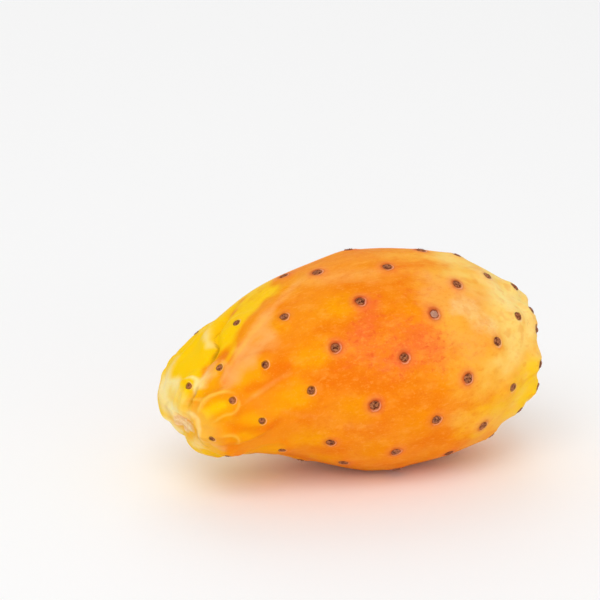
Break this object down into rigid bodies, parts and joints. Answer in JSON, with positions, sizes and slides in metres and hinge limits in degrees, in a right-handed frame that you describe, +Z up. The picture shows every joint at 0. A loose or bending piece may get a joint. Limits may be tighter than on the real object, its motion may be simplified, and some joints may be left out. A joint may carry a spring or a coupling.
{
  "type": "prickly pear fruit",
  "caption": "Whole ripe prickly pear fruit lying on its side, with a bent neck, stem scar, felt areoles on low swellings and a dished crown.",
  "frame": {"origin": "middle of the fruit's box, on the surface that it rests on", "axes": "+Z up, +X from the stem end to the crown, -Y the side that faces the camera"},
  "size_m": [0.0912, 0.051, 0.0495],
  "materials": {
    "rind": "waxy smooth fruit rind, orange with a yellow neck, paler to the crown",
    "areoles": "dry brown felt with short barbed bristles"
  },
  "bodies": {
    "root": {"fruit": "rind"}
  },
  "joints": []
}
